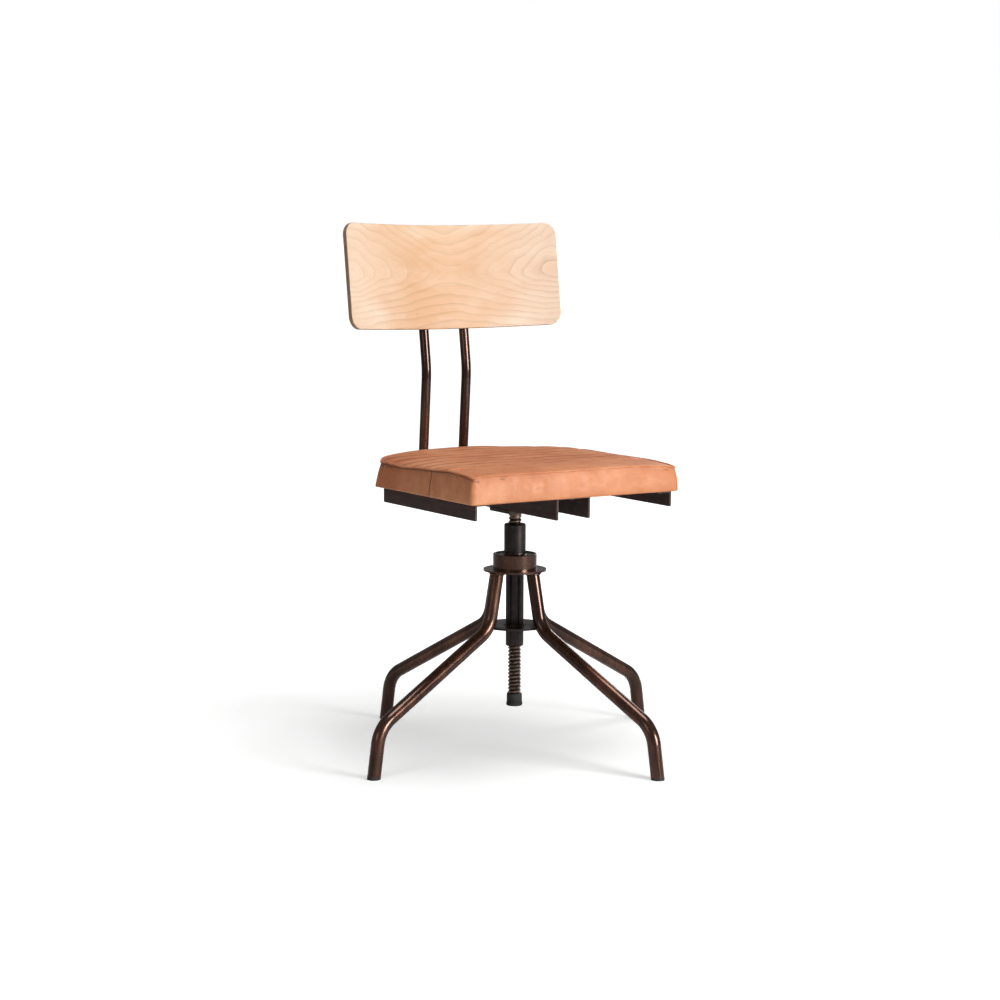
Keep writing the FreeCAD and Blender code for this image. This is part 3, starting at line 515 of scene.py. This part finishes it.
# width of the painted shade beside each channel seam
GROOVE_SHADE_WIDTH = 3.8 * MM

STITCH_PITCH = 4.6 * MM
STITCH_LENGTH = 3.2 * MM
STITCH_ARCH = 0.35 * MM
STITCH_SUNK = 0.08 * MM
THREAD_RADIUS = 0.38 * MM


def bell(value, middle, width):
    """1 at the middle, fading to almost nothing two widths away."""
    return math.exp(-(((value - middle) / width) ** 2))


def ripple(x, y, z):
    """Smooth noise, from about -1 to 1."""
    return noise.noise(Vector((x, y, z)))


def far_out(distance, width=90 * MM):
    """0 for a distance up to 100 mm, and 1 once it is a width more."""
    return smooth_step((distance - 100 * MM) / width)


def welt_height(x, y):
    """The welt's height round the seat, a little uneven as sewn leather is."""
    height = WELT_LEVEL + WELT_RIPPLE * ripple(x * 9, y * 9, 3.1)
    height -= LEFT_SAG * far_out(-x) * bell(y, 40 * MM, 50 * MM)
    height += LEFT_LIFT * far_out(-x) * bell(y, -108 * MM, 40 * MM)
    height -= RIGHT_DIP * far_out(x) * far_out(-y, 80 * MM)
    for corner_x, corner_y in CORNERS:
        away = math.hypot(x - corner_x, y - corner_y)
        height -= CORNER_DROOP * bell(away, 0, 15 * MM)
    return height


def plan_point(u, v, inset):
    """A point of the D-shaped plan: u runs left to right and v front to back."""
    half = HALF - inset
    front = FRONT + inset
    rise = BACK - inset - SHOULDER
    radius = (half * half + rise * rise) / (2 * rise)
    swing = math.asin(half / radius)
    x = half * (2 * u - 1)
    y = front + (SHOULDER - front) * v
    angle = swing * (2 * u - 1)
    bow_x = radius * math.sin(angle)
    bow_y = BACK - inset - radius * (1 - math.cos(angle))
    x += v * (bow_x - half * (2 * u - 1))
    y += v * (bow_y - SHOULDER)
    over_x = abs(x) - (half - CORNER)
    over_y = (front + CORNER) - y
    if over_x > 0 and over_y > 0:
        scale = max(over_x, over_y) / math.hypot(over_x, over_y)
        x = math.copysign(half - CORNER + over_x * scale, x)
        y = front + CORNER - over_y * scale
    return Vector((x, y, 0))


def seam_distance(y):
    """How far y lies from the nearest channel seam."""
    return min(abs(y - seam) for seam in SEAMS)


def seam_fade(edge):
    """Channels flatten towards the welt: 1 from 12 mm inside the edge, 0 at the last 2 mm."""
    return smooth_step((edge - 2 * MM) / (10 * MM))


def crown_height(x, y, edge):
    """The top's height over its welt: a soft dome, puffed channels and dimples."""
    dome = CROWN * (1 - math.exp(-edge / (22 * MM)))
    puff = 0.0
    if y > FIRST_SEAM - CHANNEL * 0.3:
        from_middle = 1 - min(1.0, seam_distance(y) / (0.5 * CHANNEL))
        puff = PUFF * math.sqrt(1 - from_middle * from_middle)
    dimple = 0.8 * MM * ripple(x * 16, y * 16, 0.7)
    return dome + (puff - 0.5 * PUFF + dimple) * seam_fade(edge)


def side_wave(x, y, height):
    """Soft vertical drag lines and dents of the leather on the side bands."""
    on_front = y < FRONT + 20 * MM
    along = x if on_front else y
    wave = 0.9 * MM * ripple(along * 34, height * 9, x * 2)
    wave += 0.35 * MM * ripple(along * 90, height * 60, y * 4)
    left_corner = bell(math.hypot(x + HALF, y - FRONT), 0, 45 * MM)
    wave += 1.3 * MM * left_corner * ripple(x * 110, height * 120, 5.0)
    if on_front:
        fold = bell(x, -60 * MM, 22 * MM)
        wave += 1.2 * MM * fold * ripple(x * 150, height * 90, 9.0)
    if abs(x) > SIDE_STARTS:
        wave -= 1.5 * MM * bell(y, SIDE_SEAM, 2.2 * MM)
        wave += 0.7 * MM * bell(abs(y - SIDE_SEAM), 7 * MM, 4 * MM)
    return wave


def hem_flare(x, y):
    """How far the hem stands out; the skirt is loosest at the back left."""
    left = smooth_step((-x - 120 * MM) / (60 * MM))
    behind = smooth_step((y - 20 * MM) / (90 * MM))
    return HEM_FLARE + LOOSE_FLARE * left * behind


def cushion_grid():
    """Columns and rows of the plan that give cells of about one size."""
    return round(2 * HALF / CELL), round((BACK - FRONT) / CELL)


def edge_loop(columns, rows):
    """Grid places round the plan's outline, anticlockwise from the front left."""
    front = [(i, 0) for i in range(columns)]
    right = [(columns, j) for j in range(rows)]
    back = [(i, rows) for i in range(columns, 0, -1)]
    left = [(0, j) for j in range(rows, 0, -1)]
    return front + right + back + left


def outward(columns, rows, loop):
    """The plan's points and outward directions round the edge loop."""
    flat = [plan_point(i / columns, j / rows, 0) for i, j in loop]
    normals = []
    for index in range(len(flat)):
        ahead = flat[(index + 1) % len(flat)] - flat[index - 1]
        normals.append(Vector((ahead.y, -ahead.x, 0)).normalized())
    return flat, normals


def edge_distance(x, y):
    """Distance from a plan point to the outline, measured inwards."""
    rise = BACK - SHOULDER
    radius = (HALF * HALF + rise * rise) / (2 * rise)
    distances = [HALF - abs(x), y - FRONT]
    if y > SHOULDER - 40 * MM:
        distances.append(radius - math.hypot(x, y - (BACK - radius)))
    return max(0.0, min(distances))


def lay_top(columns, rows, places, faces, held):
    """The top's grid, held as cloth at its edge and along its seams."""
    top = {}
    for j in range(rows + 1):
        for i in range(columns + 1):
            p = plan_point(i / columns, j / rows, SEAM_INSET)
            edge = edge_distance(p.x, p.y) - SEAM_INSET
            p.z = welt_height(p.x, p.y) + crown_height(p.x, p.y, max(0.0, edge))
            top[i, j] = len(places)
            places.append(p)
            on_seam = seam_distance(p.y) < 0.55 * CELL and edge > 8 * MM
            held.append(edge < 1.5 * CELL or on_seam)
    for j in range(rows):
        for i in range(columns):
            faces.append((top[i, j], top[i + 1, j], top[i + 1, j + 1], top[i, j + 1]))
    return top


def side_place(p, way, top_z, down):
    """A place on the side band: down is 0 at the welt and 1 at the hem."""
    z = top_z + (SEAT_BOTTOM - top_z) * down
    out = SIDE_SWELL * math.sin(math.pi * down)
    out -= WELT_PINCH * bell(down, 0.04, 0.07)
    out += hem_flare(p.x, p.y) * down ** 1.6
    out -= SEAM_INSET * (1 - down)
    out += side_wave(p.x, p.y, z) * math.sin(math.pi * min(1.0, down * 1.25 + 0.05))
    place = p + way * out
    place.z = z
    return place


def lay_sides(columns, rows, top, places, faces, held):
    """The side band in rings down from the top's edge; gives back its lowest ring."""
    loop = edge_loop(columns, rows)
    flat, normals = outward(columns, rows, loop)
    rim = [top[place] for place in loop]
    above = rim
    for step in range(1, SIDE_BANDS + 1):
        below = []
        for p, way, start in zip(flat, normals, rim):
            below.append(len(places))
            places.append(side_place(p, way, places[start].z, step / SIDE_BANDS))
            held.append(step in (1, SIDE_BANDS))
        for index in range(len(loop)):
            after = (index + 1) % len(loop)
            faces.append((above[index], below[index], below[after], above[after]))
        above = below
    return dict(zip(loop, above))


def lay_underside(columns, rows, under, places, faces, held):
    """The underside: a flat hem round the edge and a sunk middle."""
    for j in range(1, rows):
        for i in range(1, columns):
            p = plan_point(i / columns, j / rows, 0)
            sunk = smooth_step((edge_distance(p.x, p.y) - HEM) / (3 * MM))
            p.z = SEAT_BOTTOM + sunk * 2.2 * MM
            under[i, j] = len(places)
            places.append(p)
            held.append(True)
    for j in range(rows):
        for i in range(columns):
            faces.append((under[i, j], under[i, j + 1], under[i + 1, j + 1], under[i + 1, j]))


def build_cushion():
    """The pad as one closed mesh of even cells, and which of them the sewing holds."""
    columns, rows = cushion_grid()
    places, faces, held = [], [], []
    top = lay_top(columns, rows, places, faces, held)
    under = lay_sides(columns, rows, top, places, faces, held)
    lay_underside(columns, rows, under, places, faces, held)
    return mesh_from("seat_cushion", places, faces), held


def inflate(mesh, held):
    """Blows the pad up as cloth between its sewn lines, and no place moves past the cap."""
    before = [v.co.copy() for v in mesh.vertices]
    pad = bpy.data.objects.new("inflating", mesh)
    SCENE.collection.objects.link(pad)
    sewn = pad.vertex_groups.new(name="sewn")
    sewn.add([i for i, hold in enumerate(held) if hold], 1.0, "REPLACE")
    cloth = pad.modifiers.new("cloth", "CLOTH")
    cloth.settings.quality = 6
    cloth.settings.mass = 0.35
    cloth.settings.tension_stiffness = 25
    cloth.settings.compression_stiffness = 18
    cloth.settings.shear_stiffness = 10
    cloth.settings.bending_stiffness = 0.8
    cloth.settings.use_pressure = True
    cloth.settings.uniform_pressure_force = CLOTH_PRESSURE
    cloth.settings.vertex_group_mass = "sewn"
    cloth.settings.effector_weights.gravity = 0
    cloth.collision_settings.use_collision = False
    cloth.point_cache.frame_start = 1
    cloth.point_cache.frame_end = CLOTH_FRAMES
    for step in range(1, CLOTH_FRAMES + 1):
        SCENE.frame_set(step)
    graph = bpy.context.evaluated_depsgraph_get()
    blown = pad.evaluated_get(graph).to_mesh()
    after = [v.co.copy() for v in blown.vertices]
    pad.evaluated_get(graph).to_mesh_clear()
    bpy.data.objects.remove(pad)
    SCENE.frame_set(1)
    for vertex, start, end in zip(mesh.vertices, before, after):
        move = end - start
        if move.length > MOVE_CAP:
            move *= MOVE_CAP / move.length
        vertex.co = start + move
    mesh.update()


def subdivide(mesh):
    """One level of Catmull-Clark, applied."""
    holder = bpy.data.objects.new("subdividing", mesh)
    SCENE.collection.objects.link(holder)
    divide = holder.modifiers.new("divide", "SUBSURF")
    divide.levels = 1
    divide.render_levels = 1
    graph = bpy.context.evaluated_depsgraph_get()
    fine = bpy.data.meshes.new_from_object(holder.evaluated_get(graph), depsgraph=graph)
    bpy.data.objects.remove(holder)
    for face in fine.polygons:
        face.use_smooth = True
    return fine


def sew_channels(mesh):
    """Presses the seam lines in after subdivision, and marks the dark seam lines, painted shade in
    the channel grooves, a darker band along the top's edge and a painted shadow under the welt.
    """
    # the seam attribute holds the seam lines together with painted shade
    mark = mesh.attributes.new("seam", "FLOAT", "POINT")
    # every normal is read before any vertex moves
    facing_up = [vertex.normal.z > 0.3 for vertex in mesh.vertices]
    values = []
    for vertex, faces_up in zip(mesh.vertices, facing_up):
        x, y, z = vertex.co
        dark = 0.0
        if faces_up and z > SEAT_BOTTOM + 34 * MM:
            edge = edge_distance(x, y) - SEAM_INSET
            line = bell(seam_distance(y), 0, SEAM_WIDTH) * seam_fade(edge)
            # painted shade in the grooves, where each puff shades the foot of the next
            groove_shade = bell(seam_distance(y), 0, GROOVE_SHADE_WIDTH) * seam_fade(edge)
            # a darker band along the top's edge beside the welt
            rim = bell(max(0.0, edge), 0, 2.2 * MM)
            vertex.co.z -= SEAM_SUNK * line
            dark = 0.25 * line + 0.80 * groove_shade + 0.5 * rim
        elif abs(x) > SIDE_STARTS:
            dark = 0.8 * bell(y, SIDE_SEAM, 1.4 * MM)
            # painted shadow on the side band just under the welt
            if y > FRONT + 12 * MM and z > SEAT_BOTTOM + 20 * MM:
                dark += 0.75 * bell(z, welt_height(x, y) - 2 * MM, 1.6 * MM)
        values.append(min(1.0, dark))
    mark.data.foreach_set("value", values)
    mesh.update()


def tube_along(path, radius, sides, closed=True, wobble=0.0, seed=0.0):
    """A round tube through a list of places; wobble makes its radius lumpy."""
    places, faces = [], []
    count = len(path)
    for index, here in enumerate(path):
        ahead = path[(index + 1) % count] if closed or index + 1 < count else here
        behind = path[index - 1] if closed or index else here
        along = (ahead - behind).normalized()
        side = along.cross(Vector((0, 0, 1)))
        side = side.normalized() if side.length > 1e-3 else Vector((1, 0, 0))
        up = side.cross(along).normalized()
        lump = 1 + wobble * noise.noise(here * 420 + Vector((seed, seed, seed)))
        for k in range(sides):
            angle = 2 * math.pi * k / sides
            places.append(here + (side * math.cos(angle) + up * math.sin(angle)) * radius * lump)
    spans = count if closed else count - 1
    for index in range(spans):
        after = (index + 1) % count
        for k in range(sides):
            turn = (k + 1) % sides
            faces.append((index * sides + k, index * sides + turn,
                          after * sides + turn, after * sides + k))
    if not closed:
        faces.append(tuple(range(sides - 1, -1, -1)))
        faces.append(tuple(range((count - 1) * sides, count * sides)))
    return places, faces


def joined(parts):
    """Several (places, faces) as one."""
    places, faces = [], []
    for some_places, some_faces in parts:
        start = len(places)
        places += some_places
        faces += [tuple(start + i for i in face) for face in some_faces]
    return places, faces


def smoothed(path):
    """A closed path with its sharp turns eased."""
    return [(path[k - 1] + here * 2 + path[(k + 1) % len(path)]) / 4
            for k, here in enumerate(path)]


def make_welt():
    """The piping that is sewn round the top edge."""
    columns, rows = cushion_grid()
    flat, normals = outward(columns, rows, edge_loop(columns, rows))
    path = []
    for p, way in zip(flat, normals):
        q = p - way * (SEAM_INSET - 0.4 * MM)
        q.z = welt_height(p.x, p.y) + 0.2 * MM
        path.append(q)
    for _ in range(3):
        path = smoothed(path)
    places, faces = tube_along(path, WELT_RADIUS, 10, wobble=0.10)
    mesh = subdivide(mesh_from("seat_welt", places, faces))
    add_piece("seat_welt", mesh, FINISHES["seat_leather"])


def stitch_at(hit):
    """One stitch: a short arched length of thread, half sunk in the leather at its ends."""
    path = []
    for step in (-1.0, -0.5, 0.0, 0.5, 1.0):
        rise = STITCH_ARCH * (1 - step * step) - STITCH_SUNK
        path.append(hit + Vector((step * STITCH_LENGTH / 2, 0, rise)))
    return tube_along(path, THREAD_RADIUS, 5, closed=False)


def make_stitches(cushion):
    """Short thread stitches down in every channel seam, laid on the finished leather."""
    tree = BVHTree.FromPolygons(
        [v.co.copy() for v in cushion.data.vertices],
        [tuple(p.vertices) for p in cushion.data.polygons],
    )
    parts = []
    for y in SEAMS:
        x = -HALF
        while x < HALF:
            x += STITCH_PITCH
            if edge_distance(x, y) < 8 * MM:
                continue
            hit = tree.ray_cast(Vector((x, y, 0.6)), Vector((0, 0, -1)))[0]
            if hit is not None:
                parts.append(stitch_at(hit))
    places, faces = joined(parts)
    add_piece("seat_stitches", mesh_from("seat_stitches", places, faces), THREAD)


def make_cushion():
    """The cushion, its welt and its stitches, in place of the CAD's foam and cover."""
    mesh, held = build_cushion()
    inflate(mesh, held)
    mesh = subdivide(mesh)
    sew_channels(mesh)
    cushion = add_piece("seat_cushion", mesh, FINISHES["seat_leather"])
    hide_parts("seat_cover", "seat_foam")
    make_welt()
    make_stitches(cushion)


make_cushion()

# ---------------------------------------------------------------- welds


def weld_loop(name, paths, radius, slot, body, closed=True):
    """Lumpy weld beads along one or more paths, as one piece."""
    parts = [
        tube_along(path, radius, 10, closed, wobble=0.32, seed=7.0 * k)
        for k, path in enumerate(paths)
    ]
    places, faces = joined(parts)
    add_piece(name, mesh_from(name, places, faces), FINISHES[slot], body)


def ring_path(centre, radius_x, radius_y, turn=0.0):
    """A level ring, round or oval, turned about its own middle."""
    count = 72
    path = []
    for k in range(count):
        angle = 2 * math.pi * k / count
        flat = Vector((radius_x * math.cos(angle), radius_y * math.sin(angle), 0))
        flat.rotate(Matrix.Rotation(turn, 3, "Z"))
        path.append(centre + flat)
    return path


def line_path(start, end):
    """A straight path with a place every 1.2 mm or so."""
    count = max(3, round((end - start).length / (1.2 * MM)))
    return [start.lerp(end, k / count) for k in range(count + 1)]


LEG_TURN = math.radians(13.3)
LEG_TOP = 39.6 * MM
LEG_RADIUS = 10.5 * MM


def leg_direction(quarter):
    """The way a leg points from the swivel axis, and its angle, for quarter turns 0 to 3."""
    angle = LEG_TURN + quarter * math.pi / 2
    return Vector((math.cos(angle), math.sin(angle), 0)), angle


leg_beads = []
disc_beads = []
for quarter in range(4):
    way, angle = leg_direction(quarter)
    middle = way * LEG_TOP + Vector((0, 0, flange_low.z - 0.9 * MM))
    leg_beads.append(ring_path(middle, LEG_RADIUS * 1.08, LEG_RADIUS * 1.05, angle))
    across = Vector((-way.y, way.x, 0))
    touch = way * (disc_high.x - 0.6 * MM) + Vector((0, 0, (disc_low.z + disc_high.z) / 2))
    disc_beads.append(line_path(touch - across * 6 * MM, touch + across * 6 * MM))
weld_loop("leg_top_welds", leg_beads, 2.0 * MM, "bronze_lacquer", "base")
weld_loop("disc_welds", disc_beads, 1.9 * MM, "gunmetal_lacquer", "base", closed=False)

SPINDLE_RADIUS = 10.4 * MM
top_ring = ring_path(Vector((0, 0, plate_low.z - 0.6 * MM)), SPINDLE_RADIUS, SPINDLE_RADIUS)
weld_loop("spindle_head_weld", [top_ring], 1.7 * MM, "blackened_iron", "seat")

plate_edge = plate_high.x - 0.3 * MM
half_weld = 27 * MM
plate_beads = [
    line_path(Vector((side * plate_edge, -half_weld, plate_high.z)),
              Vector((side * plate_edge, half_weld, plate_high.z)))
    for side in (-1, 1)
]
weld_loop("plate_welds", plate_beads, 1.5 * MM, "blackened_iron", "seat", closed=False)

rail_low, rail_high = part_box("centre_rail_left")
tack = line_path(Vector((0, rail_low.y - 0.2 * MM, rail_high.z - 2.6 * MM)),
                 Vector((0, rail_low.y + 17 * MM, rail_high.z - 3.8 * MM)))
weld_loop("rail_tack_weld", [tack], 1.7 * MM, "fastener_steel", "seat", closed=False)

# ---------------------------------------------------------------- stage, light and camera

# reach of the painted glow's dimmer pool of shade round the chair
SHADE_POOL_RADIUS = 2.0
FLOOR_REACH = 60
AIM_HEIGHT = 0.45


def make_stage():
    """A wide pale floor that glows towards white for the camera away from the chair, so that it
    runs into the backdrop's white; the weaker glow near the chair leaves a painted pool of shade
    under it.
    """
    f = Finish("floor_paint")
    colour = f.mix(f.remap(f.noise(1.5, 2), 0.3, 0.7), srgb("dededd"), srgb("e4e4e3"))
    pool = f.math("DIVIDE", f.reach(), SHADE_POOL_RADIUS)
    # painted glow: the floor glows more the further it lies from the chair, which leaves a painted
    # pool of shade round the chair
    painted_glow = f.ramp(pool, (0.10, 0.42), (0.75, 1.0), smooth=True)
    seen = f.node("LightPath").outputs["Is Camera Ray"]
    f.finish(colour, 0.85)
    f.shader.inputs["Specular IOR Level"].default_value = 0.1
    f.shader.inputs["Emission Color"].default_value = (1, 1, 1, 1)
    # the painted glow reaches camera rays only
    f.feed(f.shader.inputs["Emission Strength"], f.math("MULTIPLY", painted_glow, seen))
    far = FLOOR_REACH
    corners = [(-far, -far, 0), (far, -far, 0), (far, far, 0), (-far, far, 0)]
    floor = mesh_from("floor", corners, [(0, 1, 2, 3)], smooth=False)
    stage_floor = bpy.data.objects.new("floor", floor)
    SCENE.collection.objects.link(stage_floor)
    floor.materials.append(f.material)


def area_light(name, place, size, power, colour=(1, 1, 1)):
    """A square soft box that points at the middle of the chair."""
    light = bpy.data.lights.new(name, "AREA")
    light.shape = "SQUARE"
    light.size = size
    light.energy = power
    light.color = colour
    lamp = bpy.data.objects.new(name, light)
    lamp.location = place
    aim = Vector((0, 0, AIM_HEIGHT)) - Vector(place)
    lamp.rotation_euler = aim.to_track_quat("-Z", "Y").to_euler()
    SCENE.collection.objects.link(lamp)


def make_light():
    """A key from the front right, a weaker top, and a world that looks white but lights weakly."""
    area_light("key", (1.3, -3.4, 1.15), 1.3, 113, (0.925, 0.985, 0.985))
    area_light("fill", (-3.2, -1.2, 1.5), 1.0, 6, (1.0, 0.97, 0.98))
    area_light("top", (0.3, -0.5, 3.2), 1.4, 42)
    area_light("rim", (2.4, 1.8, 1.4), 0.7, 9)
    world = bpy.data.worlds.new("studio")
    SCENE.world = world
    world.use_nodes = True
    tree = world.node_tree
    paint = tree.nodes["Background"]
    paint.inputs["Color"].default_value = (1, 1, 1, 1)
    seen = tree.nodes.new("ShaderNodeLightPath")
    power = tree.nodes.new("ShaderNodeMapRange")
    power.inputs["To Min"].default_value = 0.20
    power.inputs["To Max"].default_value = 1.0
    tree.links.new(seen.outputs["Is Camera Ray"], power.inputs["Value"])
    tree.links.new(power.outputs[0], paint.inputs["Strength"])


CAMERA_DISTANCE = 3.6578
CAMERA_HEIGHT = 0.85054
CAMERA_AZIMUTH = math.radians(-32.4846)
CAMERA_PITCH = 0.121896
CAMERA_PAN = -0.0065965
CAMERA_ROLL = 0.0033916
CAMERA_LENS = 83.14


def make_camera():
    """A long lens at seat-back height, turned to the chair's front left."""
    turn = CAMERA_AZIMUTH
    ahead = Vector((-math.sin(turn), math.cos(turn), 0))
    right = Vector((math.cos(turn), math.sin(turn), 0))
    facing = ahead * math.cos(CAMERA_PAN) + right * math.sin(CAMERA_PAN)
    right = right * math.cos(CAMERA_PAN) - ahead * math.sin(CAMERA_PAN)
    up = Vector((0, 0, 1)) * math.cos(CAMERA_PITCH) + facing * math.sin(CAMERA_PITCH)
    facing = facing * math.cos(CAMERA_PITCH) - Vector((0, 0, 1)) * math.sin(CAMERA_PITCH)
    rolled_right = right * math.cos(CAMERA_ROLL) + up * math.sin(CAMERA_ROLL)
    rolled_up = up * math.cos(CAMERA_ROLL) - right * math.sin(CAMERA_ROLL)
    lens = bpy.data.cameras.new("camera")
    lens.lens = CAMERA_LENS
    lens.sensor_width = 36
    camera = bpy.data.objects.new("camera", lens)
    frame_axes = Matrix((rolled_right, rolled_up, -facing)).transposed().to_4x4()
    frame_axes.translation = -ahead * CAMERA_DISTANCE + Vector((0, 0, CAMERA_HEIGHT))
    camera.matrix_world = frame_axes
    SCENE.collection.objects.link(camera)
    SCENE.camera = camera


make_stage()
make_light()
make_camera()
SCENE.view_settings.view_transform = "Standard"
